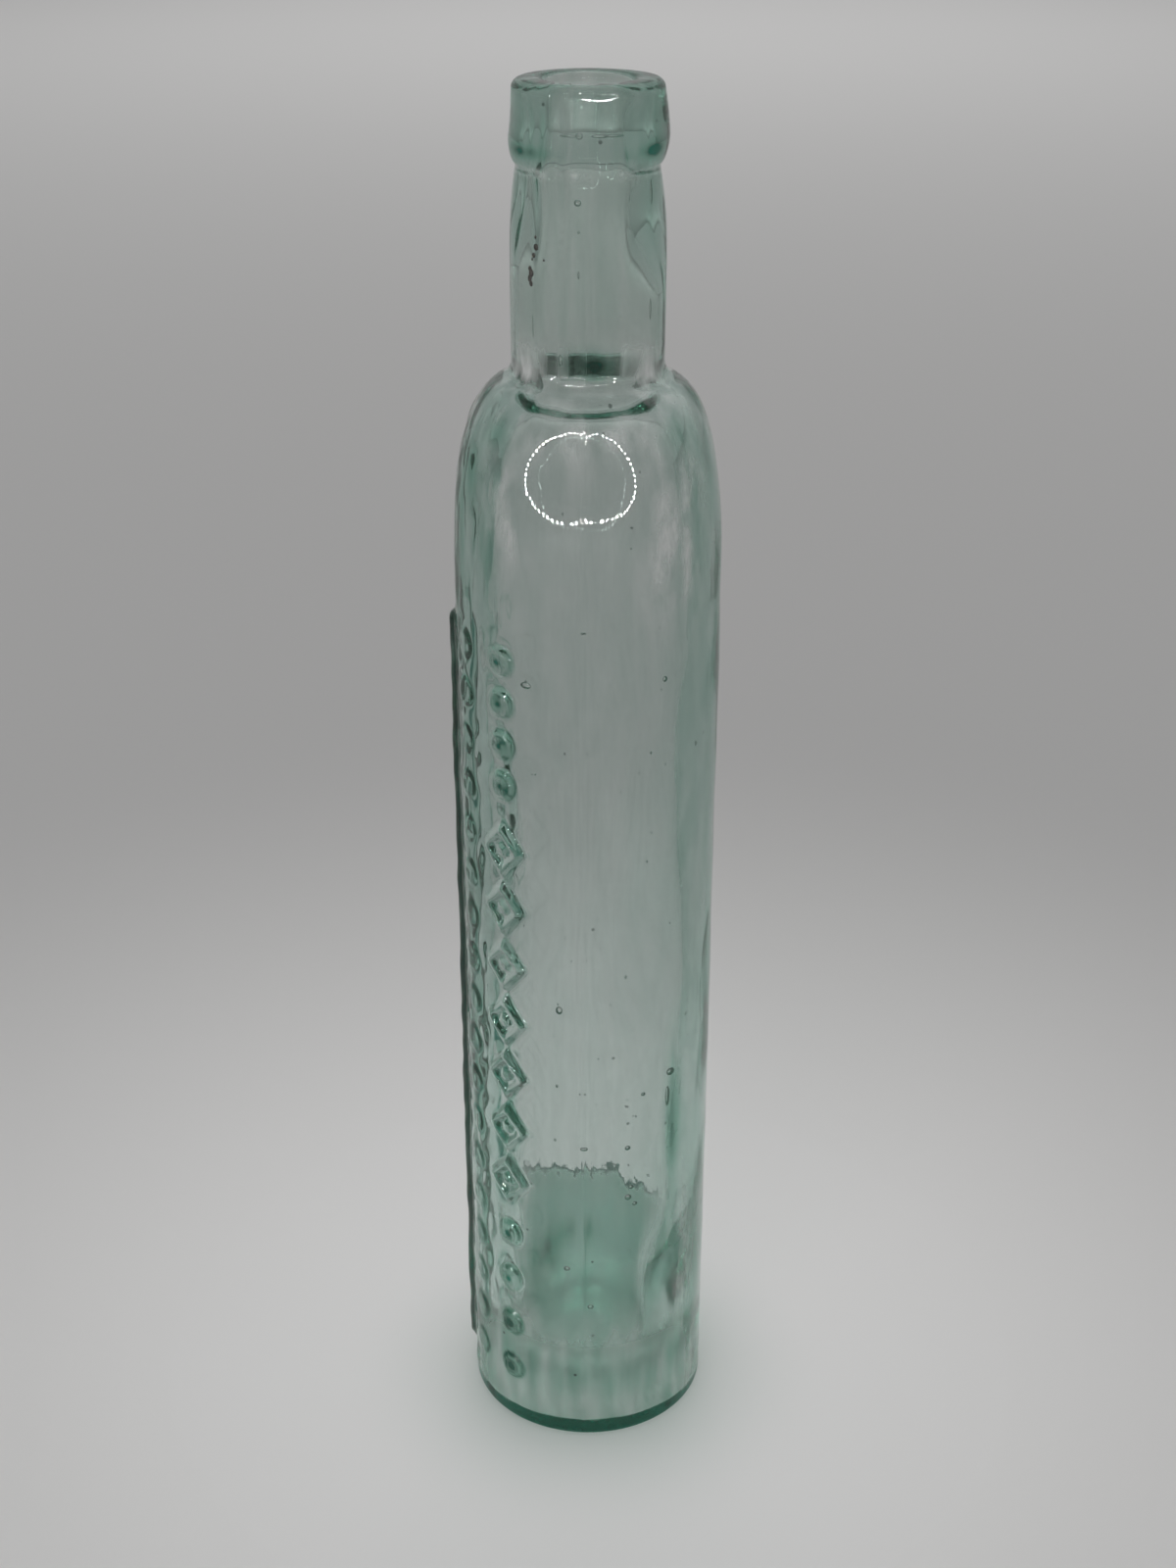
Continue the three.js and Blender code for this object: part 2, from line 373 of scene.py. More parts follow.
def lozenge_frame(across, up):
    """A diamond ring with a rounded stroke."""
    half_width, half_height = LOZENGE_HALF
    slant = math.hypot(half_width, half_height)
    inset = (1 - np.abs(across) / half_width - np.abs(up) / half_height) * half_width * half_height / slant
    stroke = (inset - LOZENGE_STROKE / 2) / (STROKE_SPREAD * LOZENGE_STROKE)
    return LOZENGE_HEIGHT * np.maximum(1 - stroke ** 2, -CAP_ROOT)


def rib(across, height):
    """The rib between the columns of studs, faintly swelling between the studs, with rounded ends."""
    swell = RIB_SWELL * np.cos(2 * math.pi * (height - TOP_STUD - STUD_PITCH / 2) / STUD_PITCH)
    below_end = RIB_BOTTOM + RIB_HALF_WIDTH - height
    above_end = height - RIB_TOP + RIB_HALF_WIDTH
    past_end = np.maximum(np.maximum(below_end, above_end), 0)
    distance = np.hypot(across, past_end) / RIB_HALF_WIDTH
    return (RIB_RISE + swell) * np.maximum(1 - distance ** RIB_POWER, -CAP_ROOT)


print(f"rise of the rib half-way up: {rib(0, BODY_HEIGHT / 2):.2f}")


# %% Height field of the relief
def stud_distance(angle, height, studs):
    """Distance from the middle of the nearest of some studs, in millimetres."""
    nearest = np.full(np.broadcast(angle, height).shape, BODY_HEIGHT)
    for place_angle, place_height in studs:
        distance = np.hypot((angle - place_angle) * BASE_RADIUS, height - place_height)
        nearest = np.minimum(nearest, distance)
    return nearest


def relief_rise(angle, height):
    """Rise of the relief above the wall, in millimetres, for arrays of angles and heights."""
    rise = rib((angle - FACING) * BASE_RADIUS, height)
    for studs, stud_height in ((side_studs, SIDE_STUD_HEIGHT), (front_studs, FRONT_STUD_HEIGHT)):
        rise = np.maximum(rise, button(stud_distance(angle, height, studs), STUD_RADIUS, stud_height))
    for place_angle, place_height in lozenges:
        across = (angle - place_angle) * BASE_RADIUS
        up = height - place_height
        rise = np.maximum(rise, lozenge_frame(across, up))
        rise = np.maximum(rise, button(np.hypot(across, up), BOSS_RADIUS, BOSS_HEIGHT))
    return soften(rise)


print(f"rise of a front stud: {relief_rise(*front_studs[0]):.2f}")

# %% [markdown]
# Old glass is never quite even. The mould was cold, so the outside is faintly rippled, and the inside was
# shaped only by breath, so the wall varies in thickness. A Displace modifier with a noise texture could do
# it, but noise has no grain round the bottle. A few seeded waves, whole-numbered round the bottle so that
# they close on themselves, give both without a visible repeat. The neck was finished by hand, so it leans
# a little, and fine ridges show where the two halves of the mould met.

# %% Waves, soft edges and soft patches
RELIEF_FADE = 1.5


def hand_waves(angle, height, depth, seed, count, most_around, shortest_along):
    """A sum of smooth waves of about this depth, which closes on itself round the bottle."""
    draw = random.Random(seed)
    total = np.zeros(np.broadcast(angle, height).shape)
    for _ in range(count):
        around = draw.randint(-most_around, most_around)
        along = draw.uniform(-1, 1) * 2 * math.pi / shortest_along
        total = total + np.cos(around * angle + along * height + draw.uniform(0, 2 * math.pi))
    return depth * total / count ** 0.5


def fade(value, low, high):
    """0 below low, 1 above high, smooth between."""
    t = np.clip((value - low) / (high - low), 0, 1)
    return t * t * (3 - 2 * t)


def within(value, start, end):
    """1 between two soft edges, each given as the range that it fades over, and 0 beyond them."""
    return fade(value, *start) * (1 - fade(value, *end))


def bump_at(angle, height, place_angle, place_height, half_around, half_up):
    """A soft patch, 1 at its middle, with its half sizes in degrees and millimetres."""
    offset = (angle - math.radians(place_angle) + math.pi) % (2 * math.pi) - math.pi
    return np.exp(-((offset / math.radians(half_around)) ** 2) - ((height - place_height) / half_up) ** 2)


def on_relief_rows(height):
    """1 at the heights of the relief, running out to 0 at its ends."""
    start = (RELIEF_BOTTOM, RELIEF_BOTTOM + RELIEF_FADE)
    return within(height, start, (RELIEF_TOP - RELIEF_FADE, RELIEF_TOP))


print("relief at the heel, half-way up and on the shoulder:", on_relief_rows(np.array((2, 80, 160))))

# %% Mould seams
MOULD_SEAM_RISE = 0.14
MOULD_SEAM_WIDTH = 0.45
MOULD_SEAM_BOTTOM = (1, 3)
MOULD_SEAM_TOP = (LIP_BOTTOM - 14, LIP_BOTTOM - 8)


def seam_rise(angle, height):
    """The two fine ridges where the halves of the mould met. They stop below the tooled lip."""
    rise = 0
    for place in (0, math.pi):
        offset = (angle - place + math.pi) % (2 * math.pi) - math.pi
        rise = rise + np.exp(-((offset * BASE_RADIUS / MOULD_SEAM_WIDTH) ** 2))
    return MOULD_SEAM_RISE * rise * within(height, MOULD_SEAM_BOTTOM, MOULD_SEAM_TOP)


print(f"rise of the front seam half-way up: {seam_rise(0, BODY_HEIGHT / 2):.2f}")

# %% Ripples of the outside
RELIEF_START = 26.0
RELIEF_END = 127.0
RELIEF_MARGIN = 10.0
ON_WALL = (1.5, 4)
OFF_WALL = (CREASE - 6, CREASE)
ON_NECK = (CREASE, CREASE + 4)
ON_LIP = (LIP_BOTTOM - 1, LIP_BOTTOM + 2)
WALL_WAVES = (0.06, 11, 10, 9, 16)
RELIEF_WAVES = (0.08, 14, 16, 40, 5)
NECK_WAVES = (0.05, 12, 10, 14, 30)
LIP_WAVES = (0.12, 13, 8, 5, 9)


def near_relief(angle):
    """1 on the relief's side of the bottle, where the mould left the glass rippled, and 0 beyond."""
    start, end, margin = (math.radians(value) for value in (RELIEF_START, RELIEF_END, RELIEF_MARGIN))
    return within(angle, (start, start + margin), (end - margin, end))


def outside_ripples(angle, height):
    """Ripples of wall, relief, neck and lip, each with its own depth and seed."""
    on_wall = within(height, ON_WALL, OFF_WALL)
    on_lip = fade(height, *ON_LIP)
    on_neck = fade(height, *ON_NECK) * (1 - on_lip)
    ripples = on_wall * hand_waves(angle, height, *WALL_WAVES)
    ripples = ripples + on_wall * near_relief(angle) * hand_waves(angle, height, *RELIEF_WAVES)
    ripples = ripples + on_neck * hand_waves(angle, height, *NECK_WAVES)
    return ripples + on_lip * hand_waves(angle, height, *LIP_WAVES)


print(f"ripple in front, half-way up: {outside_ripples(0, BODY_HEIGHT / 2):.3f}")

# %% Shape of the outside
OFF_FRONT = (0.4, 0.95)
TOWARDS_FRONT = (0, 0.3)
FILLED_FROM = (CREASE + 5, CREASE + 6)
FILLED_TO = (LIP_BOTTOM + 2, LIP_BOTTOM + 3)


def front_fill(angle, radius, height):
    """Fills out the front of neck and lip, which are drawn in at the sides only."""
    in_front = (1 - fade(np.abs(np.sin(angle)), *OFF_FRONT)) * fade(np.cos(angle), *TOWARDS_FRONT)
    on_neck = within(height, FILLED_FROM, FILLED_TO)
    up_lip = np.clip((height - BEVEL_TOP) / (RIM_BOTTOM - BEVEL_TOP), 0, 1)
    return in_front * (on_neck * np.maximum(NECK_RADIUS - radius, 0) + up_lip * LIP_LEAN)


def outside_offset(angle, radius, height):
    """How far each outside point lies from the turned profile, outwards."""
    offset = outside_ripples(angle, height) + front_fill(angle, radius, height)
    return offset + on_relief_rows(height) * relief_rise(angle, height) + seam_rise(angle, height)


print(f"fill in front, below the lip: {front_fill(0, NECK_TOP_RADIUS, LIP_BOTTOM):.2f}")

# %% Shape of the inside
THICK_PLACE = (-90, 22)
THICK_HALF = (55, 12)
THICK_BULGE = 3.0
IN_CAVITY = (CAVITY_BOTTOM + 1, CAVITY_BOTTOM + 12)
ABOVE_CAVITY = (150, 172)
IN_NECK = (172, 188)
ABOVE_NECK = (LIP_TOP - 5, LIP_TOP - 2)
SIDE_WIDENING = 1.7
SIDE_NARROWING = 2.5
NARROWS_OVER = (199, 214)
NARROWING_TILT = 2.0
WIDENS_OVER = (182, 190)
WIDENING_POWER = 4
BREATH_WAVES = (0.25, 21, 12, 4, 45)
STREAK_WAVES = (0.05, 22, 12, 16, 60)
BORE_WAVES = (0.14, 23, 14, 14, 40)


def side_widening(angle, height):
    """How much wider the bore is to the sides than to the front. It narrows higher up on the left."""
    level = height - NARROWING_TILT * np.sin(angle)
    wider = SIDE_WIDENING - SIDE_NARROWING * fade(level, *NARROWS_OVER)
    return wider * np.sin(angle) ** WIDENING_POWER * fade(height, *WIDENS_OVER)


def inside_offset(angle, radius, height):
    """How far each inside point lies from the turned profile. Positive is outwards, a thinner wall."""
    in_cavity = within(height, IN_CAVITY, ABOVE_CAVITY)
    in_neck = within(height, IN_NECK, ABOVE_NECK)
    bulge = THICK_BULGE * bump_at(angle, height, *THICK_PLACE, *THICK_HALF)
    waves = hand_waves(angle, height, *BREATH_WAVES) + hand_waves(angle, height, *STREAK_WAVES)
    drawn = side_widening(angle, height) + hand_waves(angle, 0, *BORE_WAVES)
    return in_cavity * (waves - bulge) + in_neck * drawn


thick_angle, thick_height = math.radians(THICK_PLACE[0]), THICK_PLACE[1]
print(f"inside at the thick side: {inside_offset(thick_angle, CAVITY_RADIUS, thick_height):.2f}")

# %% [markdown]
# The glass is one closed skin. Neck and lip are fused on the real bottle, and two solids that touch would
# show a mirror between them, so one mesh stands for both. It could be carved with booleans, which leave
# ragged faces and bad shading. Here it is a grid: columns run round the bottle and rows follow the profile,
# outside and then inside, with a pole at each end of the axis. Columns crowd together where the relief and
# the two mould seams need them.

# %% Columns round the bottle
SEAM_HALF = 1.2
SEAM_STEP = 0.3
RELIEF_STEP = 1.2
PLAIN_STEP = 3.6


def column_angles():
    """Angles from the front towards -X, closer together at the seams and on the relief."""
    marks = (0, SEAM_HALF, RELIEF_START, RELIEF_END, 180 - SEAM_HALF, 180 + SEAM_HALF, 360 - SEAM_HALF, 360)
    spacings = (SEAM_STEP, PLAIN_STEP, RELIEF_STEP, PLAIN_STEP, SEAM_STEP, PLAIN_STEP, SEAM_STEP)
    angles = []
    for low, high, spacing in zip(marks, marks[1:], spacings):
        angles += [place[0] for place in straight((low, 0), (high, 0), spacing)]
    return np.radians(angles)


columns = column_angles()
print("columns:", len(columns), "rows:", len(outside) + len(inside))

# %% Grid of points
NECK_LEAN_FORWARD = math.tan(math.radians(1.6))
LIP_LEAN_FORWARD = math.tan(math.radians(2.0))
LIP_LEAN_SIDEWAYS = math.tan(math.radians(1.0))
NECK_LEANS_FROM = (CREASE, CREASE + 6)
LIP_LEANS_FROM = (LIP_BOTTOM - 5, LIP_BOTTOM + 1)


def lean_neck(points):
    """Leans the neck towards the front, and the lip a little more and to +X, as the tool left them."""
    x, y, z = np.moveaxis(points, -1, 0)
    above_crease = fade(z, *NECK_LEANS_FROM) * (z - CREASE)
    above_lip = fade(z, *LIP_LEANS_FROM) * (z - LIP_BOTTOM)
    forward = NECK_LEAN_FORWARD * above_crease + LIP_LEAN_FORWARD * above_lip
    return np.stack((x + LIP_LEAN_SIDEWAYS * above_lip, y - forward, z), axis=-1)


def grid_points(profile, offset):
    """Points of a profile on every column, moved outwards by its offset."""
    radii, heights = (np.array(values)[:, None] for values in zip(*profile))
    angle = columns[None, :]
    radius = radii + offset(angle, radii, heights)
    level = np.broadcast_to(heights, radius.shape)
    return lean_neck(np.stack((-radius * np.sin(angle), -radius * np.cos(angle), level), axis=-1))


outside_rows = grid_points(outside[1:], outside_offset)
inside_rows = grid_points(inside[:-1], inside_offset)
skin_rows = np.concatenate((outside_rows, inside_rows))
print("grid of rows, columns and coordinates:", skin_rows.shape)


# %% Glass skin
def glass_skin():
    """Vertices and faces of the closed glass skin, in millimetres, with the two poles last."""
    row_count, column_count = skin_rows.shape[:2]
    poles = [(0, 0, outside[0][1]), (0, 0, inside[-1][1])]
    vertices = [tuple(point) for point in skin_rows.reshape(-1, 3)] + poles
    faces = []
    for row in range(row_count - 1):
        for column in range(column_count):
            following = (column + 1) % column_count
            here = row * column_count
            above = here + column_count
            faces.append((here + column, above + column, above + following, here + following))
    last = (row_count - 1) * column_count
    for column in range(column_count):
        following = (column + 1) % column_count
        faces.append((len(vertices) - 2, column, following))
        faces.append((len(vertices) - 1, last + following, last + column))
    return vertices, faces


def add_object(name, data):
    """A new object in the scene, made of a mesh, a camera or a light."""
    made = bpy.data.objects.new(name, data)
    bpy.context.collection.objects.link(made)
    return made


skin_vertices, skin_faces = glass_skin()
glass_mesh = bpy.data.meshes.new("glass_bottle")
glass_mesh.from_pydata([Vector(point) * MM for point in skin_vertices], [], skin_faces)
glass_bottle = add_object("glass_bottle", glass_mesh)
print("glass skin:", len(skin_vertices), "vertices,", len(skin_faces), "faces")

# %% [markdown]
# The glass is not the same everywhere. Where it is thick or its surface is steep, light runs a long way
# inside it and comes out deep green: at the heel, on the relief, in the lip. That green is painted onto the
# surface as shade, also on the neck and in patches. Inside, the last contents left a tide mark and a film
# below it. Wear has dulled some patches. An image texture could hold all this, but it needs unwrapping and
# cannot follow the shape when a size changes. So each is a number at every point of the mesh, stored as an
# attribute, which the material then turns into colour and roughness. A patch has its angle from the front in
# degrees, its height, its half sizes and its strength.

# %% Patches of painted green shade, and of haze
# The green patches are painted shade: dark green where light would run long or bend away inside the glass.
PAINTED_SHADE_PATCHES = (
    (-45, 64, 4, 13, 0.8),
    (-72, 95, 22, 75, 0.3),
    (52, 95, 8, 70, 0.2),
    (46, 180, 9, 2.5, 0.5),
    (60, 174, 6, 6, 0.5),
    (70, 163, 6, 12, 0.5),
    (-62, 172, 7, 12, 0.3),
    (-46, 180, 9, 2.5, 0.35),
    (0, 181, 30, 5, 0.1),
    (66, 85, 7, 70, 0.55),
    (-8, 189.8, 26, 2.0, 0.95),
    (-62, 36, 9, 18, 0.45),
    (86, 166, 14, 18, 0.35),
    (-86, 166, 14, 18, 0.35),
    (54, LIP_BOTTOM + 2.6, 22, 1.0, 0.8),
    (-58, LIP_BOTTOM + 2.8, 18, 1.1, 0.75),
)
HAZE_PATCHES = (
    (-42, 166, 14, 12, 1.6),
    (36, 168, 11, 8, 1.4),
    (80, 172, 20, 14, 1.5),
    (0, 181, 45, 3.5, 1.0),
    (0, LIP_BOTTOM, 75, 0.45, 2.2),
    (0, 190.4, 22, 1.8, 1.5),
    (52, 189, 16, 3, 2.5),
    (-55, 189, 16, 3, 2.5),
    (-80, 172, 20, 14, 1.5),
    (-68, 75, 16, 60, 0.8),
    (-56, 30, 7, 16, 2.0),
    (-75, 25, 14, 20, 0.8),
)


def patches_at(angle, height, patches):
    """The sum of soft patches, each with its place, half sizes and strength."""
    return sum(strength * bump_at(angle, height, *place) for *place, strength in patches)


print(len(PAINTED_SHADE_PATCHES), "green and", len(HAZE_PATCHES), "hazy patches")

# %% Painted green shade on the relief
# Rings, rib and flanks are painted dark green shade, standing in for light that the relief bends away.
PAINTED_STUD_RINGS = ((2.3, 0.35, 0.6), (1.35, 0.3, 0.4), (0, 0.7, 1.5))
RIB_FOOT = (-0.5, -0.1)
RIB_CREST = (0.6, 0.85)
RAISED_SHADE = 0.12
RIB_SHADE = 0.35
FLANK_SHADE = 1.3
FLANK_SHADE_SWING = 0.5


def painted_stud_rings(angle, height):
    """Painted green shade round the studs: lines, with rings and a core inside those of the front column."""
    to_side = stud_distance(angle, height, side_studs)
    to_front = stud_distance(angle, height, front_studs)
    total = 0
    for ring_radius, half_width, strength in PAINTED_STUD_RINGS:
        total = total + strength * np.exp(-(((to_front - ring_radius) / half_width) ** 2))
    ring_radius, half_width, strength = PAINTED_STUD_RINGS[0]
    return total + strength * np.exp(-(((to_side - ring_radius) / half_width) ** 2))


def rib_zones(angle, height):
    """1 on the whole rib, and 1 on its steep flanks alone."""
    rise = rib((angle - FACING) * BASE_RADIUS, height)
    on_rib = fade(rise, *RIB_FOOT)
    return on_rib, on_rib * (1 - fade(rise / RIB_RISE, *RIB_CREST))


def painted_relief_shade(angle, height):
    """Painted green shade of studs, lozenges and rib, whose flanks are the darkest level with the studs."""
    on_rib, on_flank = rib_zones(angle, height)
    flank = FLANK_SHADE + FLANK_SHADE_SWING * np.cos(2 * math.pi * (height - TOP_STUD) / STUD_PITCH)
    raised = np.clip(relief_rise(angle, height), 0, 1)
    green = RAISED_SHADE * raised + painted_stud_rings(angle, height) + RIB_SHADE * on_rib + flank * on_flank
    return on_relief_rows(height) * green


print(f"greenness in the middle of a front stud: {painted_relief_shade(*front_studs[0]):.2f}")

# %% Painted green shade on the heel, and the worn base
# A band round the heel is painted dark green shade, where light would run long in the thick edge of the
# base.
OUTER_EDGE = (BASE_RADIUS - 1.2, BASE_RADIUS - 0.6)
HEEL_BAND = 3.4
HEEL_BAND_SOFTNESS = 0.25
HEEL_THINNING = 0.5
WORN_TOP = (13, 30)
WORN_FRONT = (0.1, 0.75)


def heel_shade_band(angle, radius, height):
    """1 on the heel, in a band of painted shade that is widest in front and thin at the sides."""
    band = HEEL_BAND * (1 - HEEL_THINNING * (1 - np.abs(np.cos(angle))))
    above = fade(height, band - HEEL_BAND_SOFTNESS, band + HEEL_BAND_SOFTNESS)
    return fade(radius, *OUTER_EDGE) * (1 - above)


def worn_zone(angle, radius, height):
    """1 on the front of the base above the heel, where standing and sliding have frosted the glass, and
    where the glass is also made greener.
    """
    low = fade(radius, *OUTER_EDGE) * (1 - fade(height, *WORN_TOP))
    return low * (1 - heel_shade_band(angle, radius, height)) * fade(np.cos(angle), *WORN_FRONT)


print(f"heel band in front {HEEL_BAND:.1f} high, at the sides {HEEL_BAND * (1 - HEEL_THINNING):.1f}")

# %% Zones of the outside
# Neck and lip are painted greener as shade.
NECK_SHADE = 0.22
NECK_SHADE_FROM = (CREASE - 2, CREASE + 8)
LIP_SHADE = 0.05
LIP_SHADE_FROM = (LIP_BOTTOM - 0.5, LIP_BOTTOM + 2)
# The heel band gets the deepest painted green shade.
HEEL_SHADE = 1.7
# The front of the base above the heel is also made greener, more so higher up.
FRONT_BASE_GREEN = 0.32
FRONT_BASE_GREEN_RISE = 0.15
FRONT_BASE_GREEN_RISES_OVER = (6, 14)
PLAIN_HAZE = 0.2
FLANK_HAZE = 0.8
WORN_HAZE = 0.6


def outside_zones(angle, radius, height):
    """Green tint, mostly painted shade, with tide level, film, haze and frost of the outside."""
    ones = np.ones(np.broadcast(angle, height).shape)
    worn = worn_zone(angle, radius, height)
    green = painted_relief_shade(angle, height) + patches_at(angle, height, PAINTED_SHADE_PATCHES)
    green = green + NECK_SHADE * fade(height, *NECK_SHADE_FROM) + LIP_SHADE * fade(height, *LIP_SHADE_FROM)
    green = green + worn * (FRONT_BASE_GREEN + FRONT_BASE_GREEN_RISE * fade(height, *FRONT_BASE_GREEN_RISES_OVER))
    on_flank = on_relief_rows(height) * rib_zones(angle, height)[1]
    haze = PLAIN_HAZE + FLANK_HAZE * on_flank + patches_at(angle, height, HAZE_PATCHES) + WORN_HAZE * worn
    return {
        "green_and_painted_shade": np.maximum(green, HEEL_SHADE * heel_shade_band(angle, radius, height)) * ones,
        "tide": 0 * ones,
        "film": 0 * ones,
        "haze": haze * ones,
        "frost": worn * ones,
    }


print("zones of the outside:", list(outside_zones(0, BASE_RADIUS, BODY_HEIGHT / 2)))

# %% Zones of the inside
CLOUDS = ((137, 17.5, 22, 5, 0.7), (168, 19.5, 14, 3, 0.6))
TIDE_SPAN = 80.0
TIDE_HEIGHT = 34.3
TIDE_BOW = 0.03
TIDE_STEP = 4.0
TIDE_STEPS_OVER = (6.8, 8.2)
FAR_SIDE = (-0.3, 0.6)
FILM_FLOOR = (CAVITY_BOTTOM + 1, CAVITY_BOTTOM + 5)
NEAR_FILM = 0.1
FLOOR_FILM = 0.8
ROOT_BOTTOM = (BORE_ROOT, BORE_ROOT + 2)
ROOT_TOP = (BORE_ROOT + 7, BORE_ROOT + 9)
ROOT_SIDES = (0.45, 0.7)
ROOT_FAR_SIDE = (-0.1, 0.2)
INSIDE_HAZE = 0.05
ROOT_HAZE = 1.4


def tide_level(angle, radius, height):
    """0.5 at the tide mark, more below it and less above. The mark is bowed and steps down on the right."""
    across = -radius * np.sin(angle)
    tide_line = TIDE_HEIGHT + TIDE_BOW * across ** 2 - TIDE_STEP * fade(across, *TIDE_STEPS_OVER)
    return np.clip((tide_line - height) / TIDE_SPAN + 0.5, 0, 1)


def film_strength(angle, height):
    """How thick the film lies: full on the far side, thin on the near side, strong on the floor."""
    far_side = fade(-np.cos(angle), *FAR_SIDE)
    on_floor = 1 - fade(height, *FILM_FLOOR)
    return (NEAR_FILM + (1 - NEAR_FILM) * far_side) * (1 - on_floor) + FLOOR_FILM * on_floor


def root_deposit(angle, height):
    """1 where dried contents are left in the flare of the bore, at the sides of its far half."""
    at_root = within(height, ROOT_BOTTOM, ROOT_TOP)
    return at_root * fade(np.abs(np.sin(angle)), *ROOT_SIDES) * fade(-np.cos(angle), *ROOT_FAR_SIDE)


def inside_zones(angle, radius, height):
    """Greenness, tide level, film, haze and frost of the inside."""
    ones = np.ones(np.broadcast(angle, height).shape)
    root = root_deposit(angle, height)
    return {
        "green_and_painted_shade": patches_at(angle, height, CLOUDS) * ones,
        "tide": tide_level(angle, radius, height) * ones,
        "film": film_strength(angle, height) * ones,
        "haze": (INSIDE_HAZE + ROOT_HAZE * root) * ones,
        "frost": root * ones,
    }


print(f"film on the far wall: {film_strength(math.pi, TIDE_HEIGHT):.2f}")

# %% Zones stored on the mesh
POLE_ZONES = {"green_and_painted_shade": (0, 0), "tide": (0, 1), "film": (0, FLOOR_FILM), "haze": (0, 0), "frost": (0, 0)}


def store_zones():
    """Writes the zones to the mesh as attributes, row by row, with the two poles last."""
    parts = []
    for profile, zones in ((outside[1:], outside_zones), (inside[:-1], inside_zones)):
        radii, heights = (np.array(values)[:, None] for values in zip(*profile))
        parts.append(zones(columns[None, :], radii, heights))
    for name, ends in POLE_ZONES.items():
        values = np.concatenate([part[name].ravel() for part in parts] + [np.array(ends, float)])
        glass_mesh.attributes.new(name, "FLOAT", "POINT").data.foreach_set("value", values)
        print(f"{name}: {values.min():.2f} to {values.max():.2f}")


store_zones()

# %% [markdown]
# Seeds are gas bubbles that the melt never lost. Separate balls of air inside the glass would be seen as
# balls of glass, so a bubble is a small closed shape turned inside out, in the same mesh: a ray leaves the
# glass into it and comes back. Each lies in the middle of the wall, given by its angle from the front, its
# height, its distance from the axis and its half sizes round, out of and up the bottle. Flat ones lie
# where the lip was laid on the sheared end of the neck.

# %% Places of the seeds
LARGE_SEEDS = (
    (-46, 72, 18.6, (0.8, 0.7, 0.7)),
    (-44, 67.5, 18.8, (0.45, 0.4, 2.0)),
    (-30, 69.5, 18.5, (0.4, 0.35, 0.35)),
    (-24, 51.5, 18.5, (0.45, 0.4, 0.45)),
    (-22.5, 49.5, 18.4, (0.6, 0.5, 0.6)),
    (-26, 48, 18.6, (0.45, 0.4, 0.4)),
    (0, 60, 18.4, (0.5, 0.35, 0.35)),
    (-22, 59.5, 18.5, (0.5, 0.4, 0.45)),
    (9, 35, 17.8, (0.55, 0.4, 0.5)),
    (-3, 27, 17.6, (0.6, 0.4, 0.5)),
    (27, 142.5, 18.6, (0.9, 0.3, 0.55)),
    (-39, 143, 18.4, (0.4, 0.3, 0.5)),
    (-84, 127, 19.2, (0.35, 0.35, 0.45)),
    (12, 86.5, 18.5, (0.55, 0.3, 0.75)),
    (20, 190.5, 10.2, (0.35, 0.25, 0.9)),
    (6, 213, 9.6, (0.5, 0.3, 0.5)),
    (5, 209, 10.2, (0.2, 0.2, 0.2)),
    (5, 203, 10.2, (0.14, 0.15, 0.6)),
    (43, 195, 10.9, (0.12, 0.15, 1.8)),
    (-57, 213.8, 10.3, (0.25, 0.2, 1.8)),
    (-55, 197.3, 10.9, (0.2, 0.2, 1.6)),
)
NECK_END_RADIUS = 8.6
NECK_END_VOIDS = (
    (13, (1.3, 0.3, 0.22)),
    (5, (0.5, 0.3, 0.5)),
    (-12, (1.1, 0.35, 0.3)),
    (-23, (1.4, 0.3, 0.22)),
)
SMALL_SEED_COUNT = 46
SMALL_SEED_DRAW = 31
SMALL_SEED_SIZE = (0.1, 0.24)
SMALL_SEED_ANGLES = (-170, 170)
SMALL_SEED_HEIGHTS = (30, 160)
SMALL_SEED_RADII = (17.2, 19.4)
SMALL_SEED_STRETCH = (1, 1.8)
print(len(LARGE_SEEDS), "large seeds,", SMALL_SEED_COUNT, "small ones")


# %% Seeds in the glass
def ball_place(angle, height, radius, half_sizes):
    """The matrix that puts a ball on the bottle, with its half sizes round, out of and up the bottle."""
    turn = math.radians(angle)
    centre = Vector((-radius * math.sin(turn), -radius * math.cos(turn), height)) * MM
    sizes = Matrix.Diagonal([size * MM for size in half_sizes]).to_4x4()
    return Matrix.Translation(centre) @ Matrix.Rotation(-turn, 4, "Z") @ sizes


def add_void(mesh_builder, angle, height, radius, half_sizes):
    """A ball that faces inwards."""
    place = ball_place(angle, height, radius, half_sizes)
    made = bmesh.ops.create_icosphere(mesh_builder, subdivisions=2, radius=1, matrix=place)
    faces = {face for vertex in made["verts"] for face in vertex.link_faces}
    bmesh.ops.reverse_faces(mesh_builder, faces=list(faces))


def add_seeds(mesh_builder):
    """The large seeds, a scatter of small ones, and the flat voids where the lip was laid on the neck."""
    for seed in LARGE_SEEDS:
        add_void(mesh_builder, *seed)
    draw = random.Random(SMALL_SEED_DRAW)
    for _ in range(SMALL_SEED_COUNT):
        size = draw.uniform(*SMALL_SEED_SIZE)
        angle = draw.uniform(*SMALL_SEED_ANGLES)
        height = draw.uniform(*SMALL_SEED_HEIGHTS)
        radius = draw.uniform(*SMALL_SEED_RADII)
        add_void(mesh_builder, angle, height, radius, (size, size, size * draw.uniform(*SMALL_SEED_STRETCH)))
    for angle, half_sizes in NECK_END_VOIDS:
        add_void(mesh_builder, angle, SHEARED_END, NECK_END_RADIUS, half_sizes)


